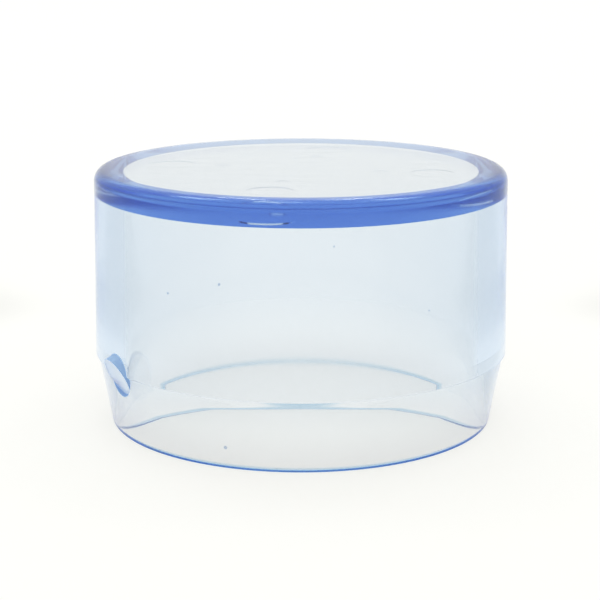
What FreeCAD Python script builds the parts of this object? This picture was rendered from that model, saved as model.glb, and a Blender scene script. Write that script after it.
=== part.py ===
"""Short round cap, moulded in one piece from clear blue-tinted plastic.

Closed above by a thick flat plate, open below. The straight side wall widens slightly from the
plate down to the parting line, and the skirt under it narrows to the rim that the cap stands on.
Millimetres, +Z up, origin at the centre of the rim's resting plane, front of the cap towards -Y.
"""

import FreeCAD, Part
import math
import os

from FreeCAD import Vector

# Driving dimensions.
OUTER_DIAMETER = 56.0        # widest, at the parting line
HEIGHT = 34.25
PARTING_HEIGHT = 9.55        # where the upper and lower halves of the mould met
WALL_DRAFT = 1.0             # degrees, upper wall against vertical
PARTING_STEP = 0.28          # how far the skirt is set in below the parting line
RIM_OUTER_DIAMETER = 52.0
RIM_INNER_DIAMETER = 49.0
RIM_OUTER_EDGE_RADIUS = 0.2
RIM_INNER_EDGE_RADIUS = 0.5
PLATE_THICKNESS = 3.8
TOP_FLAT_DIAMETER = 50.3     # flat middle of the plate's top
TOP_MARGIN_SLOPE = 3.0       # degrees that the plate's margin falls away outside it
TOP_EDGE_RADIUS = 1.5

# Bore: lead-in from the rim, a steeper shoulder, then draft up to the plate.
LEAD_IN_HEIGHT = 7.85
LEAD_IN_DIAMETER = 48.4
SHOULDER_HEIGHT = 8.95
SHOULDER_DIAMETER = 48.25
BORE_DIAMETER_AT_PLATE = 47.4

# Scar where the moulding runner was cut off: a flat oval facet across the parting line.
GATE_DIAMETER = 5.5
GATE_AZIMUTH = -58.0         # degrees round from the front, towards -X
GATE_CENTRE_HEIGHT = 9.0
GATE_FACE_REACH = 27.9       # from the cap's axis to the middle of the facet
GATE_TILT = 26.0             # degrees that the facet looks down below the horizon
GATE_ROOT_DEPTH = 1.6        # how deep the stub's root goes into the wall

# Witness marks of the ejector pins, sunk in the plate's underside.
PIN_COUNT = 4
PIN_FIRST_AZIMUTH = -12.4
EJECTOR_PINS = [             # pin diameter, diameter of the circle of pins, depth of the mark
    (6.0, 35.5, 0.10),
    (1.8, 21.6, 0.08),
]

# Derived dimensions.
WIDEST = OUTER_DIAMETER / 2
PLATE_UNDERSIDE = HEIGHT - PLATE_THICKNESS
DRAFT = math.tan(math.radians(WALL_DRAFT))
MARGIN = math.tan(math.radians(TOP_MARGIN_SLOPE))


def outward(azimuth, tilt=0.0):
    """Unit vector that points away from the axis, azimuth degrees round from the front."""
    a = math.radians(azimuth)
    t = math.radians(tilt)
    return Vector(math.sin(a) * math.cos(t), -math.cos(a) * math.cos(t), -math.sin(t))


def top_corner():
    """Radius and height where the plate's sloping margin would meet the drafted wall."""
    flat = TOP_FLAT_DIAMETER / 2
    radius = WIDEST - (HEIGHT - PARTING_HEIGHT) * DRAFT
    radius = (radius - MARGIN * DRAFT * flat) / (1 - MARGIN * DRAFT)
    return radius, HEIGHT - (radius - flat) * MARGIN


def closed_profile():
    """Half section of the cap in the XZ plane, with sharp corners, as a closed wire."""
    corners = [
        (0, HEIGHT),
        (TOP_FLAT_DIAMETER / 2, HEIGHT),
        top_corner(),
        (WIDEST, PARTING_HEIGHT),
        (WIDEST - PARTING_STEP, PARTING_HEIGHT),
        (RIM_OUTER_DIAMETER / 2, 0),
        (RIM_INNER_DIAMETER / 2, 0),
        (LEAD_IN_DIAMETER / 2, LEAD_IN_HEIGHT),
        (SHOULDER_DIAMETER / 2, SHOULDER_HEIGHT),
        (BORE_DIAMETER_AT_PLATE / 2, PLATE_UNDERSIDE),
        (0, PLATE_UNDERSIDE),
    ]
    points = [Vector(r, 0, z) for r, z in corners]
    return Part.makePolygon(points + points[:1])


def ring_edge(shape, radius, height):
    """The full circular edge of that radius and height about the axis."""
    for edge in shape.Edges:
        circle = edge.Curve
        if not isinstance(circle, Part.Circle):
            continue
        if abs(circle.Radius - radius) < 0.01 and abs(circle.Center.z - height) < 0.01:
            return edge
    raise ValueError(f"no ring edge of radius {radius} at height {height}")


def turned_shell():
    """The round body: plate, side wall and skirt in one, with its rounded edges."""
    face = Part.Face(closed_profile())
    body = face.revolve(Vector(0, 0, 0), Vector(0, 0, 1), 360)
    body = body.makeFillet(TOP_EDGE_RADIUS, [ring_edge(body, *top_corner())])
    body = body.makeFillet(RIM_OUTER_EDGE_RADIUS, [ring_edge(body, RIM_OUTER_DIAMETER / 2, 0)])
    return body.makeFillet(RIM_INNER_EDGE_RADIUS, [ring_edge(body, RIM_INNER_DIAMETER / 2, 0)])


def add_gate_scar(body):
    """Trims the wall to the facet inside the runner's outline, and adds the stub left behind it."""
    facet_centre = outward(GATE_AZIMUTH) * GATE_FACE_REACH + Vector(0, 0, GATE_CENTRE_HEIGHT)
    normal = outward(GATE_AZIMUTH, GATE_TILT)
    radius = GATE_DIAMETER / 2
    cutter = Part.makeCylinder(radius, GATE_DIAMETER, facet_centre, normal)
    root = facet_centre - normal * GATE_ROOT_DEPTH
    stub = Part.makeCylinder(radius, GATE_ROOT_DEPTH, root, normal)
    return body.cut(cutter).fuse(stub)


def sink_pin_marks(body):
    """Cuts the shallow round marks of both rings of ejector pins into the plate's underside."""
    for pin_diameter, circle_diameter, depth in EJECTOR_PINS:
        for i in range(PIN_COUNT):
            azimuth = PIN_FIRST_AZIMUTH + 360.0 * i / PIN_COUNT
            foot = outward(azimuth) * (circle_diameter / 2) + Vector(0, 0, PLATE_UNDERSIDE)
            body = body.cut(Part.makeCylinder(pin_diameter / 2, depth, foot, Vector(0, 0, 1)))
    return body


def main():
    cap = sink_pin_marks(add_gate_scar(turned_shell()))
    cap = cap.removeSplitter()
    os.makedirs("parts", exist_ok=True)
    cap.exportStep("parts/moulded_cap.step")
    box = cap.optimalBoundingBox()
    print(f"moulded_cap: {len(cap.Solids)} solid, valid {cap.isValid()}, {cap.Volume:.0f} mm3,")
    print(f"  {box.XLength:.3f} x {box.YLength:.3f} x {box.ZLength:.3f} mm")


main()
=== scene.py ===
"""Looks of the clear moulded cap: one clear, blue-tinted plastic body on a pale floor.

Metres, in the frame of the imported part: origin at the centre of the rim's resting plane, +Z up,
front towards -Y. The body is one mesh turned about Z, with the gate scar let into its wall and
the ejector pin marks sunk in the plate's underside.
"""

import math

import bmesh
import bpy
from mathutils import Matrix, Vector
from mathutils.geometry import delaunay_2d_cdt


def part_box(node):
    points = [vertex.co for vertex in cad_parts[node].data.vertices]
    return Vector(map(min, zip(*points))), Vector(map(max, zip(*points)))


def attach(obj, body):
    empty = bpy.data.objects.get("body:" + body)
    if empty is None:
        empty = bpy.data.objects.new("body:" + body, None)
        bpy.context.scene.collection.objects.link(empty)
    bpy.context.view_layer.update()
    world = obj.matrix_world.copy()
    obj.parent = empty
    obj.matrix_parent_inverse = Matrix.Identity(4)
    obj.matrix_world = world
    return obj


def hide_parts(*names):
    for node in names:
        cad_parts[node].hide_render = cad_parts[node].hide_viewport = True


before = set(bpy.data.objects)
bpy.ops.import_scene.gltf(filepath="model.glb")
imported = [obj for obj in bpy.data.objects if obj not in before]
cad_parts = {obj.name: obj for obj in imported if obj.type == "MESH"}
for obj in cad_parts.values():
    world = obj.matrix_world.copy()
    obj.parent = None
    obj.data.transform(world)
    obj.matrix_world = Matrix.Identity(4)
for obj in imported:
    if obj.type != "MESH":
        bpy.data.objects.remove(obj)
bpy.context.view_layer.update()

MM = 0.001

# Sizes of the moulding.
LOW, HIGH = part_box("moulded_cap")
HEIGHT = HIGH.z
WIDEST = (HIGH.x - LOW.x) / 2
PARTING_HEIGHT = 9.55 * MM
WALL_DRAFT = math.radians(1.0)
PARTING_STEP = 0.28 * MM
RIM_OUTER = 26.0 * MM
RIM_INNER = 24.5 * MM
RIM_OUTER_EDGE = 0.2 * MM
RIM_INNER_EDGE = 0.5 * MM
BORE = [                    # changes of slope from the rim up: radius, height, bend radius
    (24.2 * MM, 7.85 * MM, 25 * MM),
    (24.125 * MM, 8.95 * MM, 18 * MM),
    (23.7 * MM, 30.45 * MM, 0),
]
PLATE = 3.8 * MM
TOP_FLAT_RADIUS = 25.15 * MM
MARGIN_SLOPE = math.radians(3.0)
TOP_EDGE_RADIUS = 1.5 * MM
UNDERSIDE = HEIGHT - PLATE

# Gate scar.
GATE_RADIUS = 2.75 * MM
GATE_AZIMUTH = math.radians(-58.0)
GATE_HEIGHT = 9.0 * MM
GATE_REACH = 27.9 * MM
GATE_TILT = math.radians(26.0)
GATE_STAND = 3 * MM         # more than its edge stands out of the wall, or in it, anywhere

# Ejector pin marks: radius, radius of their circle, depth.
PIN_MARKS = [(3.0 * MM, 17.75 * MM, 0.10 * MM), (0.9 * MM, 10.8 * MM, 0.08 * MM)]
PIN_COUNT = 4
PIN_FIRST_AZIMUTH = math.radians(-12.4)

# The clear plastic, and what its depth does to light.
REFRACTIVE_INDEX = 1.53
DEPTH_COLOUR = (0.2, 0.47, 0.84, 1)
DEPTH_DENSITY = 50.0
# Painted glow: a faint emission of the plastic's own, which fades out towards the rim.
PAINTED_GLOW_COLOUR = (0.93, 1.0, 0.8)
PAINTED_GLOW_STRENGTH = 0.03

# Tints of the surfaces; the plate's, the rim foot's and the pin walls' tints are painted shade.
CLEAR_TINT = (0.955, 0.94, 0.925, 1)
# Painted shade: the plate is tinted darker than the clear walls, for the shade seen through it.
PLATE_PAINTED_SHADE = (0.895, 0.85, 0.81, 1)
# Painted shade: the rim's foot is tinted a darker blue.
RIM_PAINTED_SHADE = (0.55, 0.69, 0.8, 1)
# Painted shade on the walls of the pin marks, and the colour of dust specks.
PIN_SHADE_AND_SPECK_TINT = (0.35, 0.42, 0.6, 1)
TORN_TINT = (0.5, 0.68, 1.0, 1)

# Surface finish.
POLISH_ROUGHNESS = 0.03
BORE_ROUGHNESS = 0.11
EDGE_ROUGHNESS = 0.14
TORN_ROUGHNESS = 0.4
TORN_WHITENESS = 0.8        # how far a torn surface is white instead of clear
FACET_SHARE = 0.5           # how torn the facet is, beside the flank of its stub
WAVE_DEPTH = 0.02 * MM
WAVE_STRENGTH = 0.25
WAVE_SCALE = 120.0
WAVE_STRETCH = (1.0, 3.0, 1.0)
SMUDGE_SCALE = 90.0
SPECK_SCALE = 120.0
SPECK_SIZE = (0.02, 0.035)  # inner and outer radius of a speck, in cells of the speck pattern
SMUDGES = (0.35, 0.75)      # values of the smudge pattern that are polished and smudged

# Where each finish, painted shade and painted glow starts or ends, and fades into the next.
INNER_SIDE = (25.0 * MM, 25.3 * MM)      # radius that parts the inner surfaces from the outer
BELOW_PLATE_TOP = (HEIGHT - 1.0 * MM, HEIGHT - 0.5 * MM)
MATT_START = (9.0 * MM, 15.0 * MM)
MATT_END = (19.0 * MM, 25.0 * MM)
EDGE_START = (HEIGHT - 3.6 * MM, HEIGHT - 2.0 * MM)
EDGE_INSIDE = (TOP_FLAT_RADIUS, TOP_FLAT_RADIUS + 0.6 * MM)
PLATE_SHADE_REACH = (TOP_FLAT_RADIUS - 0.4 * MM, TOP_FLAT_RADIUS)
PLATE_SHADE_START = (UNDERSIDE - 0.1 * MM, UNDERSIDE)
# Height where the painted shade at the rim's foot ends.
RIM_SHADE_END = (0.3 * MM, 0.6 * MM)
# Where the painted shade on the pin marks' walls lies.
PIN_SHADE_REACH = (24 * MM, 25 * MM)
PIN_WALL_SHADE_START = (UNDERSIDE + 0.004 * MM, UNDERSIDE + 0.01 * MM)
PIN_WALL_SHADE_END = (UNDERSIDE + 0.06 * MM, UNDERSIDE + 0.075 * MM)
STUB_DEPTH = (GATE_RADIUS + 0.35 * MM, GATE_RADIUS + 0.5 * MM)
STUB_SIDE = (GATE_RADIUS + 0.03 * MM, GATE_RADIUS + 0.08 * MM)
FACET_SIDE = (GATE_RADIUS - 0.1 * MM, GATE_RADIUS - 0.02 * MM)
PAINTED_GLOW_START = (0.8 * MM, 6.0 * MM)

# Floor.
FLOOR_HALF = 3.0            # half the length of its sides
FLOOR_GAP = 0.03 * MM       # keeps the floor clear of the rim
FLOOR_GREY = (0.3, 0.3, 0.3, 1)
FLOOR_ROUGHNESS = 0.9
FLOOR_GLOW = 0.72
# Painted shade: the floor's glow is dimmer off to both sides of the cap.
FLOOR_SHADED_SIDE_GLOW = 0.6
SIDE_SHADE_SPREAD = (0.5, 0.75)      # where the side glow takes over: |x| as a share of the distance
SIDE_SHADE_DISTANCE = (60 * MM, 85 * MM)

# Lights.
WHITE = (1.0, 1.0, 0.96, 1)
SIDE_LIGHT = 0.78           # strength of the surround to both sides
SIDE_START = (0.3, 0.7)     # where it takes over: |x| of the direction looked in
LAMP_DISTANCE = 1.5
SOFTBOXES = [               # name; azimuth from the back, lowest, highest, width in degrees; strength
    ("far_left", -5.5, 27, 42, 2.5, 3.5),
    ("left", -45, 51, 63, 16, 2.5),
    ("middle", -12.5, 62, 81, 7.5, 2.5),
    ("right", 43, 55, 64, 14, 3.5),
    ("far_right", 4.6, 24, 40, 2.5, 3.5),
]

# Camera, and the response of its film: a curve that deepens the dark and middle tones.
CAMERA_PLACE = (0, -211.596 * MM, 67.228 * MM)
CAMERA_DIP = 0.2393         # radians that the camera looks down
CAMERA_TURN = 0.00057
FOCAL_LENGTH = 95.5         # mm, for a sensor 36 mm wide
SENSOR_WIDTH = 36
VIEW_RANGE = (0.005, 50)
FILM_CURVE = [(0.10, 0.045), (0.18, 0.095), (0.31, 0.21), (0.6, 0.565), (0.8, 0.8)]
LIGHT_BOUNCES = 64

# The mesh: its columns, and the window in the wall that is meshed round the gate scar.
COLUMN_STEP = math.radians(0.5)
COLUMNS = 720
SHARP_ANGLE = math.radians(20)
WINDOW_HALF = math.radians(6.5)
WINDOW_TOP = 12.6 * MM
WINDOW_FOOT = 5.4 * MM
WINDOW_ROW = 0.45 * MM
LEDGE = WINDOW_TOP - PARTING_HEIGHT      # distance down the window to the parting line
LEDGE_CLEARANCE = 0.4 * MM
OUTLINE_CLEARANCE = 0.12 * MM
MARGIN_BLEND = 0.06 * MM    # half width of the bend between the flat top and its margin
UNDERSIDE_BORDER = 0.3 * MM
GATE_SIDES = 96
PIN_SIDES = 72
BISECTIONS = 60
HAIR = 1e-8                 # a point this near the parting line lies on it
MICRON = 1e-6
INSIDE_BORDER = 1           # has delaunay_2d_cdt return only the triangles inside the border
MERGE_DISTANCE = 1e-9


def radial(azimuth, tilt=0.0):
    """Unit vector away from the axis; azimuth runs round from the front, and tilt looks down."""
    flat = math.cos(tilt)
    return Vector((math.sin(azimuth) * flat, -math.cos(azimuth) * flat, -math.sin(tilt)))


def lifted(flat, z):
    """The vector with the height z added."""
    return flat + Vector((0, 0, z))


def outer_radius(z):
    """Outside radius of the wall or, below the parting line, of the skirt."""
    if z >= PARTING_HEIGHT:
        return WIDEST - (z - PARTING_HEIGHT) * math.tan(WALL_DRAFT)
    return RIM_OUTER + (WIDEST - PARTING_STEP - RIM_OUTER) * z / PARTING_HEIGHT


def rounded(before, corner, after, radius, steps):
    """Points of the arc that rounds off the corner between its two neighbours in the section."""
    corner = Vector(corner)
    back = (Vector(before) - corner).normalized()
    ahead = (Vector(after) - corner).normalized()
    half = back.angle(ahead) / 2
    centre = corner + (back + ahead).normalized() * (radius / math.sin(half))
    first = corner + back * (radius / math.tan(half)) - centre
    last = corner + ahead * (radius / math.tan(half)) - centre
    sweep = math.pi - 2 * half
    found = []
    for i in range(steps + 1):
        t = sweep * i / steps
        spot = centre + (first * math.sin(sweep - t) + last * math.sin(t)) / math.sin(sweep)
        found.append((spot.x, spot.y))
    return found


def section():
    """Half section as (r, z) points, and the places in it where the gate's window starts and ends."""
    slope = math.tan(MARGIN_SLOPE)
    draft = math.tan(WALL_DRAFT)
    edge_r = (outer_radius(HEIGHT) - slope * draft * TOP_FLAT_RADIUS) / (1 - slope * draft)
    edge = (edge_r, HEIGHT - (edge_r - TOP_FLAT_RADIUS) * slope)
    points = [(TOP_FLAT_RADIUS - MARGIN_BLEND, HEIGHT), (TOP_FLAT_RADIUS, HEIGHT)]
    points.append((TOP_FLAT_RADIUS + MARGIN_BLEND, HEIGHT - MARGIN_BLEND * slope))
    points += rounded(points[-1], edge, (WIDEST, PARTING_HEIGHT), TOP_EDGE_RADIUS, steps=16)
    points.append((outer_radius(WINDOW_TOP), WINDOW_TOP))
    window_start = len(points) - 1
    points.append((WIDEST, PARTING_HEIGHT))
    points.append((WIDEST - PARTING_STEP, PARTING_HEIGHT))
    points.append((outer_radius(WINDOW_FOOT), WINDOW_FOOT))
    window_end = len(points) - 1
    outer, inner = (RIM_OUTER, 0), (RIM_INNER, 0)
    points += rounded(points[-1], outer, inner, RIM_OUTER_EDGE, steps=6)
    points += rounded(outer, inner, BORE[0][:2], RIM_INNER_EDGE, steps=20)
    for corner, after in zip(BORE, BORE[1:]):
        points += rounded(points[-1], corner[:2], after[:2], corner[2], steps=8)
    points.append(BORE[-1][:2])
    points.append((BORE[-1][0] - UNDERSIDE_BORDER, UNDERSIDE))
    return points, window_start, window_end


def cap_mesh():
    """The whole body: rings turned about the axis, the plate's two sides and the gate scar."""
    mesh = bmesh.new()
    outline, window_start, window_end = section()
    rings = []
    for r, z in outline:
        rings.append([mesh.verts.new(lifted(radial(i * COLUMN_STEP) * r, z))
                      for i in range(COLUMNS)])
    gate_column = round(GATE_AZIMUTH / COLUMN_STEP) % COLUMNS
    half = round(WINDOW_HALF / COLUMN_STEP)
    inside = set(range(gate_column - half, gate_column + half))
    for k, (upper, lower) in enumerate(zip(rings, rings[1:])):
        for i in range(COLUMNS):
            if window_start <= k < window_end and i in inside:
                continue
            j = (i + 1) % COLUMNS
            mesh.faces.new((upper[i], lower[i], lower[j], upper[j]))
    mesh.faces.new(rings[0])
    add_underside(mesh, rings[-1])
    window = [ring[gate_column - half:gate_column + half + 1]
              for ring in rings[window_start:window_end + 1]]
    add_gate(mesh, window)
    bmesh.ops.recalc_face_normals(mesh, faces=mesh.faces)
    data = bpy.data.meshes.new("moulded_cap_body")
    mesh.to_mesh(data)
    mesh.free()
    data.shade_smooth()
    data.set_sharp_from_angle(angle=SHARP_ANGLE)
    return data


def unroll(spot):
    """Place on the unrolled outside of the cap: distance round from the gate, distance down."""
    azimuth = math.atan2(spot.x, -spot.y)
    across = (azimuth - GATE_AZIMUTH) * WIDEST
    if spot.z > PARTING_HEIGHT + HAIR:
        return Vector((across, WINDOW_TOP - spot.z))
    if spot.z > PARTING_HEIGHT - HAIR:
        return Vector((across, LEDGE + WIDEST - math.hypot(spot.x, spot.y)))
    return Vector((across, LEDGE + PARTING_STEP + PARTING_HEIGHT - spot.z))


def roll(place):
    """The point on the cap's outside at a place on the unrolled wall."""
    if place.y < LEDGE:
        z = WINDOW_TOP - place.y
        r = outer_radius(z)
    elif place.y <= LEDGE + PARTING_STEP:
        z = PARTING_HEIGHT
        r = WIDEST - (place.y - LEDGE)
    else:
        z = PARTING_HEIGHT - (place.y - LEDGE - PARTING_STEP)
        r = outer_radius(z - HAIR)
    return lifted(radial(GATE_AZIMUTH + place.x / WIDEST) * r, z)


def gate_frame():
    """Middle of the facet, its outward normal, and the two directions in its plane."""
    normal = radial(GATE_AZIMUTH, GATE_TILT)
    middle = lifted(radial(GATE_AZIMUTH) * GATE_REACH, GATE_HEIGHT)
    side = normal.cross(Vector((0, 0, 1))).normalized()
    return middle, normal, side, side.cross(normal)


def gate_height(t):
    """At the angle t round the facet: its edge, the wall under that, and how far it stands out."""
    middle, normal, side, up = gate_frame()
    edge = middle + (side * math.cos(t) + up * math.sin(t)) * GATE_RADIUS
    low, high = -GATE_STAND, GATE_STAND
    for _ in range(BISECTIONS):
        mean = (low + high) / 2
        spot = edge - normal * mean
        if math.hypot(spot.x, spot.y) > outer_radius(spot.z):
            low = mean
        else:
            high = mean
    return edge, edge - normal * high, high


def gate_angles():
    """Even steps round the facet, moved to meet the places where its edge lies on the wall."""
    step = math.tau / GATE_SIDES
    angles = [step * i for i in range(GATE_SIDES)]
    for i in range(GATE_SIDES):
        low, high = angles[i], angles[i] + step
        if gate_height(low)[2] * gate_height(high)[2] > 0:
            continue
        start = gate_height(low)[2] > 0
        for _ in range(BISECTIONS):
            mean = (low + high) / 2
            if (gate_height(mean)[2] > 0) == start:
                low = mean
            else:
                high = mean
        angles[i] = low
    return angles


def window_grid(outline):
    """Places that fill the window between its border and the gate's outline, row by row."""
    reach = WINDOW_HALF * WIDEST
    rows = [LEDGE, LEDGE + PARTING_STEP]
    last = int((WINDOW_TOP - WINDOW_FOOT + PARTING_STEP) / WINDOW_ROW)
    for i in range(1, last):
        if abs(WINDOW_ROW * i - LEDGE) > LEDGE_CLEARANCE:
            rows.append(WINDOW_ROW * i)
    count = round(2 * WINDOW_HALF / COLUMN_STEP)
    for down in rows:
        for i in range(1, count):
            place = Vector((-reach + 2 * reach * i / count, down))
            if not within(place, outline, OUTLINE_CLEARANCE):
                yield place


def add_gate(mesh, window):
    """Meshes the wall inside the window round the gate's outline, then the stub and its facet."""
    border = window[0] + [row[-1] for row in window[1:-1]] + window[-1][::-1]
    border += [row[0] for row in window[-2:0:-1]]
    places = [unroll(v.co) for v in border]
    # The window's second and third rows are the two edges of the step at the parting line.
    for row, down in ((1, LEDGE), (2, LEDGE + PARTING_STEP)):
        for v, place in zip(border, places):
            if v in (window[row][0], window[row][-1]):
                place.y = down
    known = list(border)
    edges = [(i, (i + 1) % len(border)) for i in range(len(border))]

    foot, rim = [], []
    for t in gate_angles():
        edge, spot, height = gate_height(t)
        foot.append(mesh.verts.new(spot))
        rim.append(foot[-1] if abs(height) < MICRON else mesh.verts.new(edge))
    first = len(places)
    outline = [unroll(v.co) for v in foot]
    places += outline
    known += foot
    edges += [(first + i, first + (i + 1) % len(foot)) for i in range(len(foot))]
    for place in window_grid(outline):
        places.append(place)
        known.append(None)

    made = delaunay_2d_cdt(places, edges, [], INSIDE_BORDER, MERGE_DISTANCE)
    spots, triangles, origin = made[0], made[2], made[3]
    verts = []
    for place, sources in zip(spots, origin):
        old = next((known[s] for s in sources if known[s] is not None), None)
        verts.append(old or mesh.verts.new(roll(place)))
    for t in triangles:
        middle = sum((spots[i] for i in t), Vector((0, 0))) / 3
        if not within(middle, outline):
            mesh.faces.new([verts[i] for i in t])

    for i in range(len(foot)):
        j = (i + 1) % len(foot)
        corners = []
        for v in (foot[i], foot[j], rim[j], rim[i]):
            if v not in corners:
                corners.append(v)
        if len(corners) > 2:
            mesh.faces.new(corners)
    mesh.faces.new(rim)


def within(place, outline, margin=0.0):
    """Whether a place lies inside the closed outline, or within the margin of its points."""
    if margin and any((place - p).length < margin for p in outline):
        return True
    hits = 0
    for a, b in zip(outline, outline[1:] + outline[:1]):
        if (a.y > place.y) != (b.y > place.y):
            if place.x < a.x + (b.x - a.x) * (place.y - a.y) / (b.y - a.y):
                hits += 1
    return hits % 2 == 1


def pin_circles():
    """Centre, radius and depth of each ejector pin mark."""
    for radius, circle, depth in PIN_MARKS:
        for i in range(PIN_COUNT):
            yield radial(PIN_FIRST_AZIMUTH + math.tau * i / PIN_COUNT) * circle, radius, depth


def add_underside(mesh, border):
    """Fills the plate's underside inside the border ring, with its round marks sunk into it."""
    flat = [Vector((v.co.x, v.co.y)) for v in border]
    verts = list(border)
    edges = [(i, (i + 1) % len(border)) for i in range(len(border))]
    circles = []
    for centre, radius, depth in pin_circles():
        first = len(flat)
        loop = []
        for i in range(PIN_SIDES):
            t = math.tau * i / PIN_SIDES
            x, y = centre.x + radius * math.cos(t), centre.y + radius * math.sin(t)
            flat.append(Vector((x, y)))
            loop.append(mesh.verts.new((x, y, UNDERSIDE)))
            edges.append((first + i, first + (i + 1) % PIN_SIDES))
        verts += loop
        circles.append(flat[first:])
        lid = [mesh.verts.new(lifted(v.co, depth)) for v in loop]
        mesh.faces.new(lid)
        for i in range(PIN_SIDES):
            j = (i + 1) % PIN_SIDES
            mesh.faces.new((loop[i], loop[j], lid[j], lid[i]))
    made = delaunay_2d_cdt(flat, edges, [], INSIDE_BORDER, MERGE_DISTANCE)
    points, triangles, origin = made[0], made[2], made[3]
    if len(points) != len(flat):
        raise RuntimeError("the underside's outline crosses itself")
    for t in triangles:
        middle = sum((points[i] for i in t), Vector((0, 0))) / 3
        if not any(within(middle, circle) for circle in circles):
            mesh.faces.new([verts[origin[i][0]] for i in t])


class Graph:
    """Short calls for the nodes of one material or world."""

    def __init__(self, tree):
        self.nodes, self.links = tree.nodes, tree.links

    def feed(self, socket, value):
        if isinstance(value, bpy.types.NodeSocket):
            self.links.new(value, socket)
        else:
            socket.default_value = value

    def math(self, operation, a, b=0.0, clamp=False):
        node = self.nodes.new("ShaderNodeMath")
        node.operation = operation
        node.use_clamp = clamp
        self.feed(node.inputs[0], a)
        self.feed(node.inputs[1], b)
        return node.outputs[0]

    def product(self, first, *others):
        for other in others:
            first = self.math("MULTIPLY", first, other)
        return first

    def vector(self, operation, a, b=(0, 0, 0)):
        node = self.nodes.new("ShaderNodeVectorMath")
        node.operation = operation
        self.feed(node.inputs[0], a)
        self.feed(node.inputs[1], b)
        return node.outputs["Value" if operation in ("LENGTH", "DOT_PRODUCT") else "Vector"]

    def ramp(self, value, start, end, low, high):
        node = self.nodes.new("ShaderNodeMapRange")
        node.interpolation_type = "SMOOTHSTEP"
        for name, setting in (("Value", value), ("From Min", start), ("From Max", end),
                              ("To Min", low), ("To Max", high)):
            self.feed(node.inputs[name], setting)
        return node.outputs[0]

    def above(self, value, start, end):
        """Mask that is 0 below start and 1 above end."""
        return self.ramp(value, start, end, 0.0, 1.0)

    def below(self, value, start, end):
        """Mask that is 1 below start and 0 above end."""
        return self.ramp(value, start, end, 1.0, 0.0)

    def mix(self, mask, off, on):
        """The colour off where the mask is 0, and on where it is 1."""
        node = self.nodes.new("ShaderNodeMix")
        node.data_type = "RGBA"
        self.feed(node.inputs["Factor"], mask)
        self.feed(node.inputs["A"], off)
        self.feed(node.inputs["B"], on)
        return node.outputs["Result"]

    def noise(self, place, scale, detail=2.0):
        node = self.nodes.new("ShaderNodeTexNoise")
        self.feed(node.inputs["Vector"], place)
        node.inputs["Scale"].default_value = scale
        node.inputs["Detail"].default_value = detail
        return node.outputs["Fac"]

    def place(self, kind="Object"):
        return self.nodes.new("ShaderNodeTexCoord").outputs[kind]

    def axis(self, place, name):
        node = self.nodes.new("ShaderNodeSeparateXYZ")
        self.links.new(place, node.inputs[0])
        return node.outputs[name]


def torn_mask(g, place):
    """The stub that the runner left: 1 on its flank and FACET_SHARE on its facet."""
    middle, normal = gate_frame()[:2]
    away = g.vector("SUBTRACT", place, tuple(middle))
    proud = g.vector("DOT_PRODUCT", away, tuple(normal))
    distance = g.vector("LENGTH", away)
    aside = g.math("SQRT", g.math("SUBTRACT", g.math("POWER", distance, 2.0),
                                  g.math("POWER", proud, 2.0)))
    stub = g.product(g.below(distance, *STUB_DEPTH), g.below(aside, *STUB_SIDE))
    return g.product(stub, g.ramp(g.below(aside, *FACET_SIDE), 0.0, 1.0, 1.0, FACET_SHARE))


def roughness(g, place, height, reach, torn):
    """Polished, but duller half way up the bore, round the plate's edge and where torn."""
    bore = g.product(g.below(reach, *INNER_SIDE),
                     g.above(height, *MATT_START), g.below(height, *MATT_END))
    edge = g.product(g.above(height, *EDGE_START), g.above(reach, *EDGE_INSIDE))
    rough = g.ramp(g.noise(place, SMUDGE_SCALE), *SMUDGES, 0.0, POLISH_ROUGHNESS)
    for mask, amount in ((bore, BORE_ROUGHNESS), (edge, EDGE_ROUGHNESS), (torn, TORN_ROUGHNESS)):
        rough = g.math("ADD", rough, g.product(mask, amount), clamp=True)
    return rough


def surface_tint(g, place, height, reach, torn):
    """Surface colour: clear, with painted shade on the plate, rim foot and pin walls, and dust specks."""
    # Painted shade on the plate, darker than the clear walls.
    plate = g.product(g.below(reach, *PLATE_SHADE_REACH), g.above(height, *PLATE_SHADE_START))
    # Painted shade on the walls of the sunk pin marks.
    pin_wall_shade = g.product(g.below(reach, *PIN_SHADE_REACH),
                         g.above(height, *PIN_WALL_SHADE_START), g.below(height, *PIN_WALL_SHADE_END))
    cells = g.nodes.new("ShaderNodeTexVoronoi")
    cells.inputs["Scale"].default_value = SPECK_SCALE
    g.links.new(place, cells.inputs["Vector"])
    speck = g.below(cells.outputs["Distance"], *SPECK_SIZE)
    tint = g.mix(plate, CLEAR_TINT, PLATE_PAINTED_SHADE)
    # Painted shade at the rim's foot.
    tint = g.mix(g.below(height, *RIM_SHADE_END), tint, RIM_PAINTED_SHADE)
    tint = g.mix(g.math("MAXIMUM", pin_wall_shade, speck), tint, PIN_SHADE_AND_SPECK_TINT)
    return g.mix(torn, tint, TORN_TINT)


def waves(g, place, height, reach):
    """Normals of the inner surfaces, which are slightly wavy."""
    inner = g.product(g.below(reach, *INNER_SIDE), g.below(height, *BELOW_PLATE_TOP))
    swell = g.noise(g.vector("MULTIPLY", place, WAVE_STRETCH), WAVE_SCALE, detail=3.0)
    bump = g.nodes.new("ShaderNodeBump")
    bump.inputs["Strength"].default_value = WAVE_STRENGTH
    bump.inputs["Distance"].default_value = WAVE_DEPTH
    g.feed(bump.inputs["Height"], g.product(swell, inner))
    return bump.outputs["Normal"]


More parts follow.
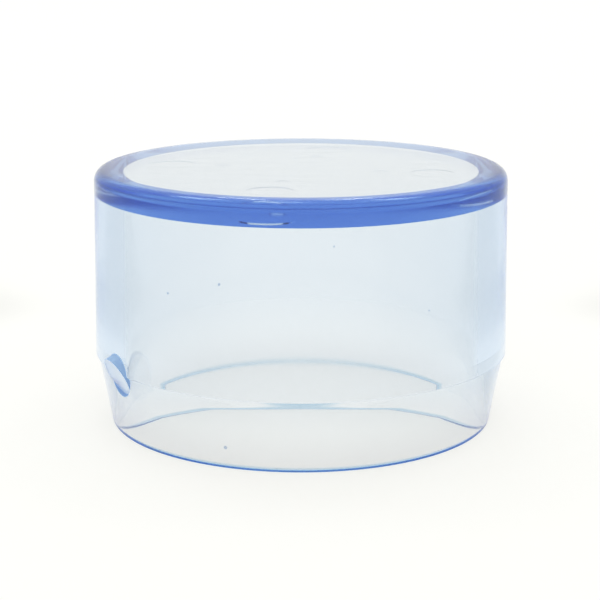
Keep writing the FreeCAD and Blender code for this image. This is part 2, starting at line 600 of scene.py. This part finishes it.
def clear_plastic():
    """Clear plastic tinted by its depth: polished outside, duller in the bore, torn at the gate.

    The faint emission is painted glow, which stands in for the light that such plastic scatters back
    out of its long light paths. It fades out towards the rim, where the paths are short.
    """
    material = bpy.data.materials.new("clear_blue_plastic_look")
    material.use_nodes = True
    g = Graph(material.node_tree)
    shader = g.nodes["Principled BSDF"]
    shader.inputs["Emission Strength"].default_value = PAINTED_GLOW_STRENGTH
    shader.inputs["IOR"].default_value = REFRACTIVE_INDEX
    place = g.place()
    height = g.axis(place, "Z")
    reach = g.vector("LENGTH", g.vector("MULTIPLY", place, (1, 1, 0)))
    torn = torn_mask(g, place)
    # Painted glow: the plastic emits faint light, except near the rim's foot.
    painted_glow = g.vector("MULTIPLY", g.above(height, *PAINTED_GLOW_START), PAINTED_GLOW_COLOUR)
    g.feed(shader.inputs["Emission Color"], painted_glow)
    g.feed(shader.inputs["Roughness"], roughness(g, place, height, reach, torn))
    g.feed(shader.inputs["Transmission Weight"],
           g.math("SUBTRACT", 1.0, g.product(torn, TORN_WHITENESS)))
    g.feed(shader.inputs["Base Color"], surface_tint(g, place, height, reach, torn))
    g.feed(shader.inputs["Normal"], waves(g, place, height, reach))

    absorb = g.nodes.new("ShaderNodeVolumeAbsorption")
    absorb.inputs["Color"].default_value = DEPTH_COLOUR
    absorb.inputs["Density"].default_value = DEPTH_DENSITY
    g.links.new(absorb.outputs[0], g.nodes["Material Output"].inputs["Volume"])
    return material


cap = bpy.data.objects.new("cap_body", cap_mesh())
bpy.context.scene.collection.objects.link(cap)
cap.data.materials.append(clear_plastic())
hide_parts("moulded_cap")
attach(cap, "root")


def floor():
    """Pale glowing floor, with painted shade: its glow is dimmer off to both sides of the cap."""
    data = bpy.data.meshes.new("floor")
    s = FLOOR_HALF
    data.from_pydata([(-s, -s, 0), (s, -s, 0), (s, s, 0), (-s, s, 0)], [], [(0, 1, 2, 3)])
    obj = bpy.data.objects.new("floor", data)
    obj.location.z = -FLOOR_GAP
    bpy.context.scene.collection.objects.link(obj)
    material = bpy.data.materials.new("floor_white")
    material.use_nodes = True
    g = Graph(material.node_tree)
    shader = g.nodes["Principled BSDF"]
    shader.inputs["Base Color"].default_value = FLOOR_GREY
    shader.inputs["Roughness"].default_value = FLOOR_ROUGHNESS
    shader.inputs["Specular IOR Level"].default_value = 0.0
    shader.inputs["Emission Color"].default_value = WHITE
    place = g.place()
    distance = g.vector("LENGTH", place)
    aside = g.vector("LENGTH", g.vector("MULTIPLY", place, (1, 0, 0)))
    # Painted shade: less glow to both sides, away from the cap.
    painted_side_shade = g.product(g.above(g.math("DIVIDE", aside, distance), *SIDE_SHADE_SPREAD),
                    g.above(distance, *SIDE_SHADE_DISTANCE))
    g.feed(shader.inputs["Emission Strength"], g.ramp(painted_side_shade, 0.0, 1.0, FLOOR_GLOW, FLOOR_SHADED_SIDE_GLOW))
    obj.data.materials.append(material)


def surround():
    """White surround, dimmer towards both sides."""
    world = bpy.data.worlds.new("studio")
    bpy.context.scene.world = world
    world.use_nodes = True
    g = Graph(world.node_tree)
    aside = g.math("ABSOLUTE", g.axis(g.place("Generated"), "X"))
    back = g.nodes["Background"]
    back.inputs["Color"].default_value = WHITE
    g.feed(back.inputs["Strength"], g.ramp(aside, *SIDE_START, 1.0, SIDE_LIGHT))


def softbox(name, azimuth, low, high, width, strength):
    """A lamp behind and above the cap that spans the heights low to high, in degrees seen from the cap."""
    up = math.radians((low + high) / 2)
    tall = 2 * LAMP_DISTANCE * math.tan(math.radians(high - low) / 2)
    wide = 2 * LAMP_DISTANCE * math.tan(math.radians(width) / 2)
    data = bpy.data.lights.new(name, "AREA")
    data.shape = "RECTANGLE"
    data.size, data.size_y = wide, tall
    data.energy = strength * math.pi * wide * tall
    lamp = bpy.data.objects.new(name, data)
    bpy.context.scene.collection.objects.link(lamp)
    a = math.radians(azimuth)
    toward = Vector((math.sin(a) * math.cos(up), math.cos(a) * math.cos(up), math.sin(up)))
    lamp.location = lifted(toward * LAMP_DISTANCE, HEIGHT)
    lamp.rotation_euler = toward.to_track_quat("Z", "Y").to_euler()
    lamp.visible_transmission = False


def camera():
    """Long lens in front of the cap, looking slightly down."""
    data = bpy.data.cameras.new("camera")
    cam = bpy.data.objects.new("camera", data)
    bpy.context.scene.collection.objects.link(cam)
    cam.location = CAMERA_PLACE
    cam.rotation_euler = (math.pi / 2 - CAMERA_DIP, 0, CAMERA_TURN)
    data.lens = FOCAL_LENGTH
    data.sensor_width = SENSOR_WIDTH
    data.clip_start, data.clip_end = VIEW_RANGE
    bpy.context.scene.camera = cam


def film():
    """The film's response, and enough bounces for light to find its way out of the thick plate."""
    settings = bpy.context.scene.view_settings
    settings.view_transform = "Standard"
    settings.use_curve_mapping = True
    curve = settings.curve_mapping.curves[3]
    for x, y in FILM_CURVE:
        curve.points.new(x, y)
    settings.curve_mapping.update()
    cycles = bpy.context.scene.cycles
    cycles.max_bounces = LIGHT_BOUNCES
    cycles.transmission_bounces = LIGHT_BOUNCES
    cycles.glossy_bounces = LIGHT_BOUNCES


floor()
surround()
for lamp in SOFTBOXES:
    softbox(*lamp)
camera()
film()
